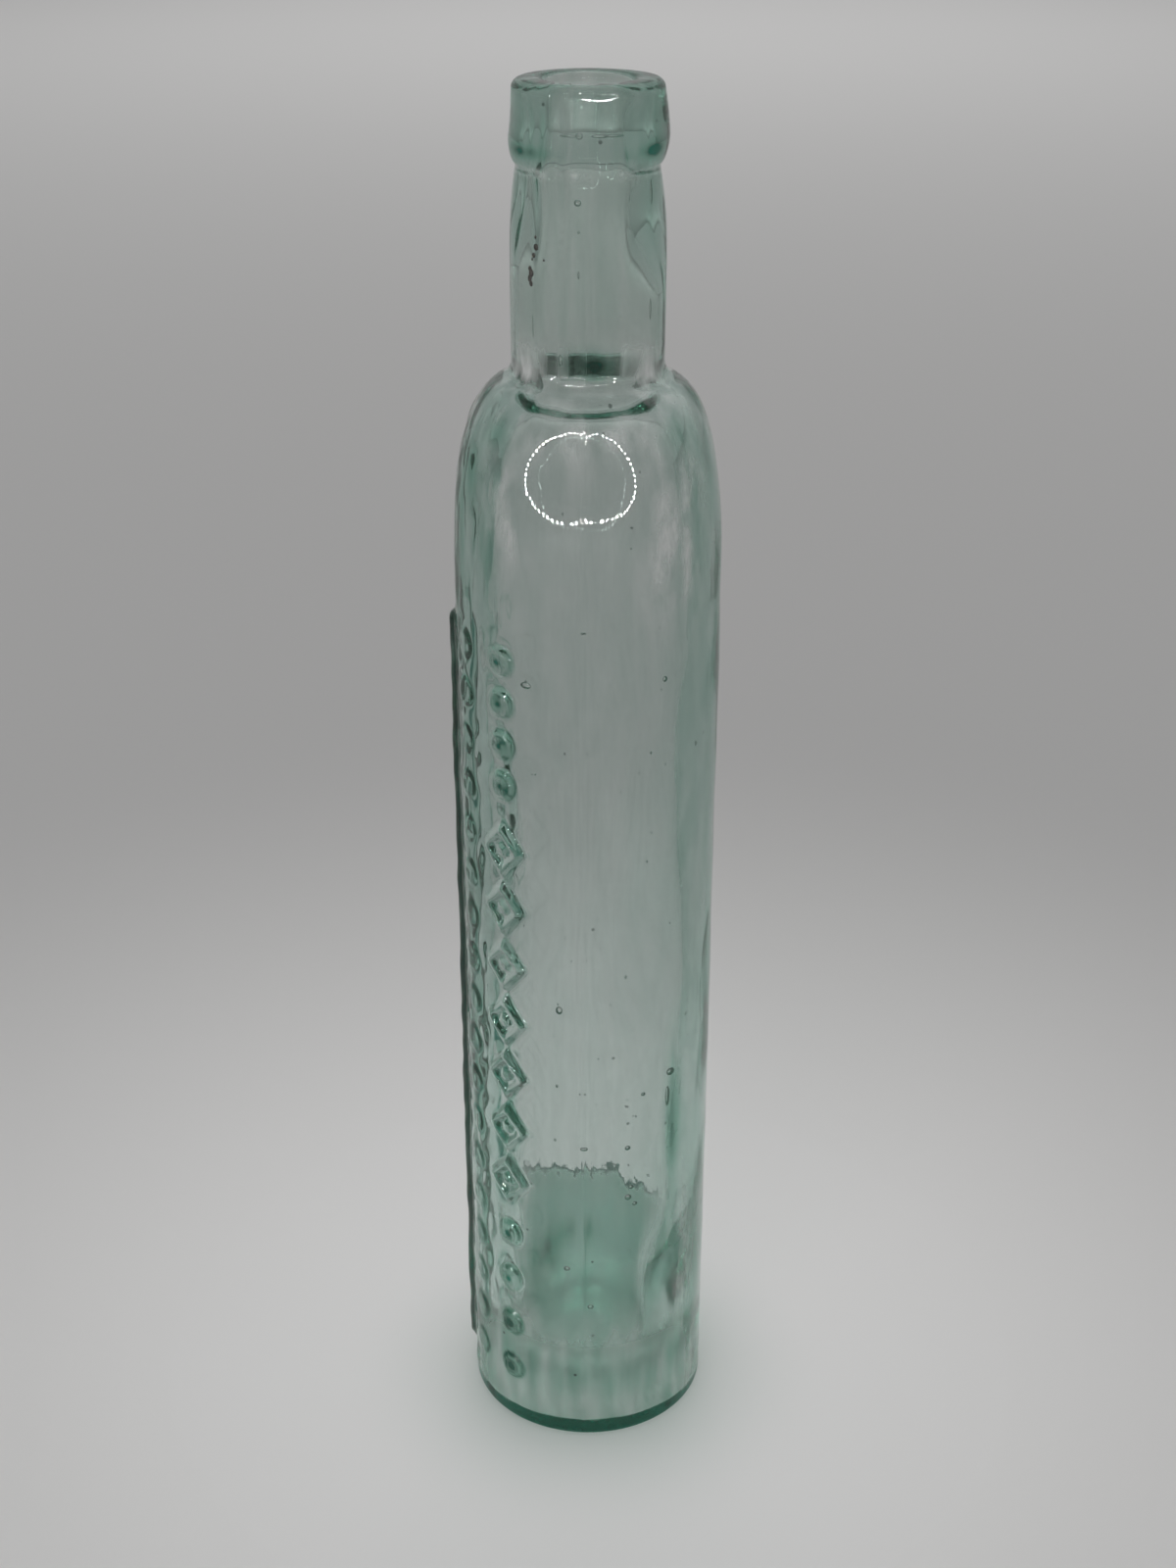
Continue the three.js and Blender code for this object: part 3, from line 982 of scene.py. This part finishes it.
builder = bmesh.new()
builder.from_mesh(glass_mesh)
bmesh.ops.recalc_face_normals(builder, faces=builder.faces)
add_seeds(builder)
print("volume of glass in cubic centimetres:", round(builder.calc_volume() / MM ** 3 / 1000, 1))
builder.to_mesh(glass_mesh)
builder.free()
glass_mesh.shade_smooth()
print("triangles of glass:", sum(len(face.vertices) - 2 for face in glass_mesh.polygons))

# %% [markdown]
# Aqua glass gets its colour from iron in the sand. A tinted surface would colour thin and thick walls alike.
# The colour is in the body of the glass, so it is a Volume Absorption: thin walls stay pale and thick ones
# go green by themselves. The surface adds painted shade, a deeper green in the zones where light runs long,
# and what age and use left: a faint overall dullness, the film, haze and fine streaks. Nodes are set up by
# small helpers, so that each finish reads as one line.


# %% Helpers for material nodes
def new_material(name):
    """A material, with its node tree and the Principled shader in it."""
    material = bpy.data.materials.new(name)
    material.use_nodes = True
    return material, material.node_tree, material.node_tree.nodes["Principled BSDF"]


def new_node(tree, kind, inputs=(), **settings):
    """A node with its settings, and its inputs set to values or linked to other nodes' outputs."""
    made = tree.nodes.new(kind)
    for name, value in settings.items():
        setattr(made, name, value)
    for name, value in dict(inputs).items():
        if isinstance(value, bpy.types.NodeSocket):
            tree.links.new(value, made.inputs[name])
        else:
            made.inputs[name].default_value = value
    return made


def math_node(tree, operation, *terms):
    """The result of one sum, of values or sockets."""
    return new_node(tree, "ShaderNodeMath", dict(enumerate(terms)), operation=operation).outputs[0]


def between(tree, value, old_range, new_range):
    """A value taken from one range to another, and held inside it."""
    inputs = {"Value": value}
    inputs["From Min"], inputs["From Max"] = old_range
    inputs["To Min"], inputs["To Max"] = new_range
    return new_node(tree, "ShaderNodeMapRange", inputs).outputs["Result"]


def zone(tree, name):
    """One of the mesh's zones."""
    return new_node(tree, "ShaderNodeAttribute", attribute_name=name).outputs["Fac"]


print("zones that a material can read:", list(POLE_ZONES))

# %% Helpers for colour and noise
MIX_COLOUR_A = 6
MIX_COLOUR_B = 7
MIX_COLOUR_RESULT = 2


def colour_ramp(tree, factor, stops):
    """A colour that follows a factor through stops of position and colour."""
    made = new_node(tree, "ShaderNodeValToRGB", {"Fac": factor})
    elements = made.color_ramp.elements
    while len(elements) < len(stops):
        elements.new(0.5)
    for element, (position, colour) in zip(elements, stops):
        element.position = position
        element.color = (*colour, 1)
    return made.outputs["Color"]


def mixed_colour(tree, blend, factor, first, second):
    """Two colours, each a value or a socket, blended by a factor."""
    inputs = {"Factor": factor, MIX_COLOUR_A: first, MIX_COLOUR_B: second}
    made = new_node(tree, "ShaderNodeMix", inputs, data_type="RGBA", blend_type=blend)
    return made.outputs[MIX_COLOUR_RESULT]


def stretched_noise(tree, per_metre, stretch, detail=2.0):
    """Noise with this many features in a metre, drawn out up the bottle by a factor."""
    place = new_node(tree, "ShaderNodeTexCoord").outputs["Object"]
    mapped = new_node(tree, "ShaderNodeMapping", {"Vector": place, "Scale": (1, 1, 1 / stretch)})
    inputs = {"Vector": mapped.outputs["Vector"], "Scale": per_metre, "Detail": detail}
    return new_node(tree, "ShaderNodeTexNoise", inputs).outputs["Fac"]


print("colours of a Mix node are its inputs", MIX_COLOUR_A, "and", MIX_COLOUR_B)

# %% Colours of the glass surface
# The two green stops are painted shade: the greens that thick or steep glass shows where light runs long in
# it.
CLEAR_GLASS = (0.97, 0.938, 0.943)
GREEN_SHADE = (0.3, 0.54, 0.44)
DEEP_GREEN_SHADE = (0.0001, 0.085, 0.05)
GLASS_STOPS = ((0, CLEAR_GLASS), (0.6, GREEN_SHADE), (1, DEEP_GREEN_SHADE))
NO_FILM = (1, 1, 1)
TIDE_LINE = (0.02, 0.06, 0.045)
FILM_EDGE = (0.3, 0.5, 0.42)
FILM = (0.27, 0.52, 0.43)
FILM_STOPS = ((0.49, NO_FILM), (0.496, TIDE_LINE), (0.502, TIDE_LINE), (0.51, FILM_EDGE), (0.62, FILM))
STREAK_NOISE = (0.3, 0.7)
STREAK_STRENGTH = (0.6, 1.4)
RAGGED_NOISE = (0.25, 0.75)
RAGGED_LEVEL = (-0.02, 0.02)
SPECK_COLOUR = (0.03, 0.04, 0.035, 1)
SPECKS_PER_METRE = 130.0
SPECK_EDGE = (0.03, 0.045)
SPECK_STRENGTH = (0.85, 0)


def specks(tree):
    """Strong on small specks of dirt, about one to every cell of a few millimetres, and 0 elsewhere."""
    place = new_node(tree, "ShaderNodeTexCoord").outputs["Object"]
    cells = new_node(tree, "ShaderNodeTexVoronoi", {"Vector": place, "Scale": SPECKS_PER_METRE})
    return between(tree, cells.outputs["Distance"], SPECK_EDGE, SPECK_STRENGTH)


def film_level(tree):
    """How far below the tide mark a point lies, with a ragged edge. The mark itself is at 0.5."""
    ragged = stretched_noise(tree, per_metre=420, stretch=1, detail=4)
    return math_node(tree, "ADD", zone(tree, "tide"), between(tree, ragged, RAGGED_NOISE, RAGGED_LEVEL))


def surface_colour(tree, level):
    """Tint of the surface: the zones' green, mostly painted shade, times the film left by the contents, with
    specks on it.
    """
    streaks = between(tree, stretched_noise(tree, per_metre=240, stretch=6), STREAK_NOISE, STREAK_STRENGTH)
    green = math_node(tree, "MULTIPLY", zone(tree, "green_and_painted_shade"), streaks)
    tint = colour_ramp(tree, green, GLASS_STOPS)
    film = mixed_colour(tree, "MIX", zone(tree, "film"), (*NO_FILM, 1), colour_ramp(tree, level, FILM_STOPS))
    filmed_tint = mixed_colour(tree, "MULTIPLY", 1.0, tint, film)
    return mixed_colour(tree, "MIX", specks(tree), filmed_tint, SPECK_COLOUR)


print("stops of the glass colour:", len(GLASS_STOPS), "and of the film:", len(FILM_STOPS))

# %% Haze and dullness of the glass
FILM_LEVELS = (0.5, 0.53)
HAZE_NOISE = (0.4, 0.7)
HAZE_MOST = 0.45
FILM_HAZE = 0.5
FROST_HAZE = 0.38
POLISH = 0.006
FILM_ROUGHNESS = 0.6
FROST_ROUGHNESS = 0.4


def film_amount(tree, level):
    """1 under the film, 0 above the tide mark and on bare glass."""
    return math_node(tree, "MULTIPLY", between(tree, level, FILM_LEVELS, (0, 1)), zone(tree, "film"))


def clearness(tree, filmed):
    """The share of light that passes: less through patchy haze, film and frost."""
    noise = stretched_noise(tree, per_metre=300, stretch=3, detail=5)
    patches = between(tree, noise, HAZE_NOISE, (0, HAZE_MOST))
    haze = math_node(tree, "MULTIPLY", zone(tree, "haze"), patches)
    clouded = math_node(tree, "MAXIMUM", haze, math_node(tree, "MULTIPLY", filmed, FILM_HAZE))
    clouded = math_node(tree, "MULTIPLY_ADD", zone(tree, "frost"), FROST_HAZE, clouded)
    return math_node(tree, "SUBTRACT", 1.0, clouded)


def dullness(tree, filmed):
    """Roughness: fire-polished glass, duller under the film and where it is frosted."""
    filmed_dull = math_node(tree, "MULTIPLY_ADD", filmed, FILM_ROUGHNESS, POLISH)
    return math_node(tree, "MULTIPLY_ADD", zone(tree, "frost"), FROST_ROUGHNESS, filmed_dull)


print(f"roughness from {POLISH} on bare glass to {POLISH + FILM_ROUGHNESS:.3f} under the film")

# %% Glass material
GLASS_IOR = 1.52
ABSORPTION_COLOUR = (0.2, 0.625, 0.5, 1)
ABSORPTION_PER_METRE = 40.0
SHADOW_TINT = (1.0, 0.955, 0.967, 1)
RIPPLE_STRENGTH = 0.02


def lets_light_through(tree, shader):
    """The shader for rays that are seen, and a plain tint for rays that only carry light or shadow."""
    passing = new_node(tree, "ShaderNodeBsdfTransparent", {"Color": SHADOW_TINT})
    light_path = new_node(tree, "ShaderNodeLightPath")
    surface = shader.outputs["BSDF"]
    for ray in ("Is Diffuse Ray", "Is Shadow Ray"):
        inputs = {"Fac": light_path.outputs[ray], 1: surface, 2: passing.outputs["BSDF"]}
        surface = new_node(tree, "ShaderNodeMixShader", inputs).outputs["Shader"]
    return surface


def aqua_glass():
    """Clear glass that absorbs red the most, with its zones, haze and fine streaks on the surface."""
    material, tree, shader = new_material("aqua_glass")
    shader.inputs["IOR"].default_value = GLASS_IOR
    level = film_level(tree)
    filmed = film_amount(tree, level)
    ripples = stretched_noise(tree, per_metre=500, stretch=12)
    bump = new_node(tree, "ShaderNodeBump", {"Height": ripples, "Strength": RIPPLE_STRENGTH, "Distance": MM})
    tree.links.new(surface_colour(tree, level), shader.inputs["Base Color"])
    tree.links.new(clearness(tree, filmed), shader.inputs["Transmission Weight"])
    tree.links.new(dullness(tree, filmed), shader.inputs["Roughness"])
    tree.links.new(bump.outputs["Normal"], shader.inputs["Normal"])
    absorption = new_node(
        tree, "ShaderNodeVolumeAbsorption", {"Color": ABSORPTION_COLOUR, "Density": ABSORPTION_PER_METRE}
    )
    output = tree.nodes["Material Output"]
    tree.links.new(lets_light_through(tree, shader), output.inputs["Surface"])
    tree.links.new(absorption.outputs["Volume"], output.inputs["Volume"])
    print("aqua glass:", len(tree.nodes), "nodes")
    return material


glass_mesh.materials.append(aqua_glass())
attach(glass_bottle, "root")
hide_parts("bottle_body", "applied_lip")

# %% [markdown]
# Stones are grains that never melted. A few dark ones sit in the neck, level with the surface. Dark spots in
# the glass material would be flat and would have no edge, so each is a small squashed ball with an uneven
# brown crust. Together they are one piece that rides on the bottle. Each has its angle, height and size.

# %% Crust of the stones
CRUST_STOPS = ((0.35, (0.012, 0.008, 0.006)), (0.7, (0.055, 0.032, 0.02)))
CRUST_ROUGHNESS = 0.7


def iron_crust():
    """Dark rusty brown, mottled and dull."""
    material, tree, shader = new_material("iron_crust")
    mottling = stretched_noise(tree, per_metre=2500, stretch=1, detail=3)
    tree.links.new(colour_ramp(tree, mottling, CRUST_STOPS), shader.inputs["Base Color"])
    shader.inputs["Roughness"].default_value = CRUST_ROUGHNESS
    print("iron crust:", len(tree.nodes), "nodes")
    return material


crust = iron_crust()

# %% Stones in the neck
NECK_STONES = (
    (37.6, 208.0, 0.22),
    (37.2, 206.6, 0.42),
    (39.4, 205.4, 0.32),
    (41.0, 204.8, 0.18),
    (30.5, 204.9, 0.15),
    (43.4, 203.4, 0.36),
    (42.2, 202.8, 0.5),
    (43.8, 202.0, 0.44),
    (42.6, 201.3, 0.36),
)
STONE_SQUASH = 0.5
STONE_STRETCH = 1.2


def neck_stones():
    """The stones as one mesh of squashed balls on the neck's surface."""
    grains = bmesh.new()
    for angle, height, size in NECK_STONES:
        place = ball_place(angle, height, NECK_RADIUS, (size, STONE_SQUASH * size, STONE_STRETCH * size))
        bmesh.ops.create_icosphere(grains, subdivisions=2, radius=1, matrix=place)
    mesh = bpy.data.meshes.new("neck_stones")
    grains.to_mesh(mesh)
    grains.free()
    mesh.shade_smooth()
    mesh.materials.append(crust)
    piece = add_object("neck_stones", mesh)
    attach(piece, "root")
    return piece


print("stones:", len(neck_stones().data.polygons), "faces")

# %% [markdown]
# The bottle stands on a sheet of pale paper. A curved backdrop would do as well, but clear glass shows
# everything behind it, and one flat sheet, wide enough to run out of sight, keeps what it shows plain. It
# lies a hair below the standing ring, so that glass and paper never share a face.

# %% Paper floor
FLOOR_HALF = 6.0
FLOOR_LEVEL = -0.0001
PAPER_COLOUR = (0.78, 0.775, 0.77, 1)
PAPER_ROUGHNESS = 0.9
PAPER_SHINE = 0.1


def pale_paper():
    """Pale, dull paper."""
    material, _, shader = new_material("pale_paper")
    shader.inputs["Base Color"].default_value = PAPER_COLOUR
    shader.inputs["Roughness"].default_value = PAPER_ROUGHNESS
    shader.inputs["Specular IOR Level"].default_value = PAPER_SHINE
    return material


def paper_floor():
    """A wide sheet of paper."""
    mesh = bpy.data.meshes.new("paper_floor")
    signs = ((-1, -1), (1, -1), (1, 1), (-1, 1))
    mesh.from_pydata([(x * FLOOR_HALF, y * FLOOR_HALF, FLOOR_LEVEL) for x, y in signs], [], [(0, 1, 2, 3)])
    mesh.materials.append(pale_paper())
    floor = add_object("paper_floor", mesh)
    return floor


print("paper floor, half a side in metres:", paper_floor().data.vertices[2].co.x)

# %% [markdown]
# Glass is lit mostly by what lies behind it. A photograph of a studio could surround the bottle, but a plain
# sky is easier to judge: soft, brightest behind the bottle and dimmer on the camera's side, so that the
# front of the glass mirrors little and stays clear.

# %% Studio sky
DIM_SKY = 0.2
BRIGHT_SKY = 0.36
SKY_TURNS_OVER = 0.7


def studio_sky():
    """A soft white sky whose strength follows the direction from front to back."""
    world = bpy.data.worlds.new("studio_sky")
    bpy.context.scene.world = world
    world.use_nodes = True
    tree = world.node_tree
    place = new_node(tree, "ShaderNodeTexCoord")
    split = new_node(tree, "ShaderNodeSeparateXYZ", {"Vector": place.outputs["Generated"]})
    strength = between(tree, split.outputs["Y"], (-SKY_TURNS_OVER, SKY_TURNS_OVER), (DIM_SKY, BRIGHT_SKY))
    strength.node.interpolation_type = "SMOOTHSTEP"
    background = tree.nodes["Background"]
    background.inputs["Color"].default_value = (1, 1, 1, 1)
    tree.links.new(strength, background.inputs["Strength"])
    return world


print("sky:", len(studio_sky().node_tree.nodes), "nodes")

# %% [markdown]
# The camera stands where a person would hold one to look at the bottle on a table: a little above the mouth
# and close by, so the base is seen smaller than the shoulder. Its place, tilt and lens are real sizes. They
# could be found by eye, but were worked out from how round the base, the shoulder and the lip look.

# %% Camera
CAMERA_TURN = math.radians(2)
CAMERA_PITCH = math.radians(25.03)
CAMERA_DISTANCE = 0.3217
CAMERA_HEIGHT = 0.2683
FOCAL_PIXELS = 2219
PICTURE_HEIGHT = 1600
SENSOR = 36.0
NEAREST_SEEN = 0.01


def photo_camera():
    """The photograph's viewpoint: a hand's height above the mouth, looking down at the front."""
    camera = bpy.data.cameras.new("photo_camera")
    camera.sensor_width = SENSOR
    camera.sensor_fit = "AUTO"
    camera.lens = SENSOR * FOCAL_PIXELS / PICTURE_HEIGHT
    camera.clip_start = NEAREST_SEEN
    holder = add_object("photo_camera", camera)
    aside = CAMERA_DISTANCE * math.sin(CAMERA_TURN)
    back = CAMERA_DISTANCE * math.cos(CAMERA_TURN)
    holder.location = (aside, -back, CAMERA_HEIGHT)
    holder.rotation_euler = (math.pi / 2 - CAMERA_PITCH, 0, CAMERA_TURN)
    bpy.context.scene.camera = holder
    return holder


print(f"lens: {photo_camera().data.lens:.1f} mm")

# %% [markdown]
# Three soft lamps light the paper: one far behind, one in front, and one from above whose pool of light
# falls round the bottle. Large panels would be mirrored in the glass as white windows, so these are hidden
# from mirrored and refracted rays. Their light is still on the paper, and the glass shows the paper.


# %% Soft lamps
def aimed(name, light, place, aim):
    """An object for a light, at a place and turned to a point. The glass does not mirror it."""
    holder = add_object(name, light)
    holder.location = place
    holder.rotation_euler = (Vector(aim) - Vector(place)).to_track_quat("-Z", "Y").to_euler()
    holder.visible_glossy = False
    holder.visible_transmission = False
    return holder


def soft_lamp(name, place, aim, size, watts):
    """A square area lamp, which the camera does not see."""
    light = bpy.data.lights.new(name, "AREA")
    light.size = size
    light.energy = watts
    aimed(name, light, place, aim).visible_camera = False


def pool_lamp(place, aim, pool_radius, softness, blend, watts):
    """A soft spot lamp from above, whose pool of light covers the floor round the bottle."""
    light = bpy.data.lights.new("pool_lamp", "SPOT")
    light.energy = watts
    light.spot_size = 2 * math.atan(pool_radius / math.dist(place, aim))
    light.spot_blend = blend
    light.shadow_soft_size = softness
    aimed("pool_lamp", light, place, aim)


soft_lamp("far_lamp", place=(0, 2.3, 1.6), aim=(0, 2.1, 0), size=1.5, watts=12.0)
soft_lamp("front_lamp", place=(-0.3, -1.1, 0.6), aim=(0, 0, 0.1), size=0.8, watts=3.0)
pool_lamp(place=(0, 0.01, 1.1), aim=(0, 0.01, 0), pool_radius=0.2, softness=0.12, blend=0.8, watts=16.0)
print("lamps:", [light.name for light in bpy.data.lights])

# %% [markdown]
# A ring of small lights in front gives round glass its sparkle: the shoulder mirrors them as a bright ring.
# One glowing hoop of mesh would do it too, but single lamps leave small gaps, so the ring twinkles. They are
# a little larger towards the top of the hoop, and their power follows their size, so that all look equally
# bright. They do not light the paper.

# %% Hoop of small lamps
HOOP_COUNT = 64
HOOP_CENTRE = Vector((0, 0, 0.175))
HOOP_DISTANCE = 1.1
HOOP_TURN = -5.0
HOOP_HALF_TURN = 48.0
HOOP_TILT = 5.0
HOOP_HALF_TILT = 23.0
HOOP_BOW = 12.0
HOOP_LAMP_RADIUS = 0.012
HOOP_LAMP_GROWTH = 0.004
HOOP_BRIGHTNESS = 6000.0


def hoop_direction(round_hoop):
    """The direction from the bottle to a place round the hoop."""
    rise = math.sin(round_hoop)
    turn = math.radians(HOOP_TURN + HOOP_HALF_TURN * math.cos(round_hoop))
    tilt = math.radians(HOOP_TILT + HOOP_HALF_TILT * rise + HOOP_BOW * rise * rise)
    return Vector((math.sin(turn) * math.cos(tilt), -math.cos(turn) * math.cos(tilt), math.sin(tilt)))


def lamp_hoop():
    """A hoop of small lamps in front of the bottle."""
    for place in range(HOOP_COUNT):
        round_hoop = 2 * math.pi * place / HOOP_COUNT
        light = bpy.data.lights.new(f"hoop_lamp_{place}", "POINT")
        light.shadow_soft_size = HOOP_LAMP_RADIUS + HOOP_LAMP_GROWTH * math.sin(round_hoop)
        light.energy = HOOP_BRIGHTNESS * light.shadow_soft_size ** 2
        holder = add_object(light.name, light)
        holder.location = HOOP_CENTRE + hoop_direction(round_hoop) * HOOP_DISTANCE
        holder.visible_camera = False
        holder.visible_diffuse = False


lamp_hoop()
print("lights in all:", len(bpy.data.lights))

# %% [markdown]
# Light can bounce many times between the walls of a bottle before it finds a way out. The default limits
# cut such paths short and leave black edges in thick glass. Brighter lamps would not help there, so the
# limits are raised instead.

# %% Light inside the glass
LIGHT_BOUNCES = 24
light_paths = bpy.context.scene.cycles
light_paths.max_bounces = LIGHT_BOUNCES
light_paths.glossy_bounces = LIGHT_BOUNCES
light_paths.transmission_bounces = LIGHT_BOUNCES
print("bounces of light:", light_paths.max_bounces)

# %% [markdown]
# At the end, colours are shown as they are, without the filmic curve that would grey the pale paper.

# %% Finish
bpy.context.scene.view_settings.view_transform = "Standard"
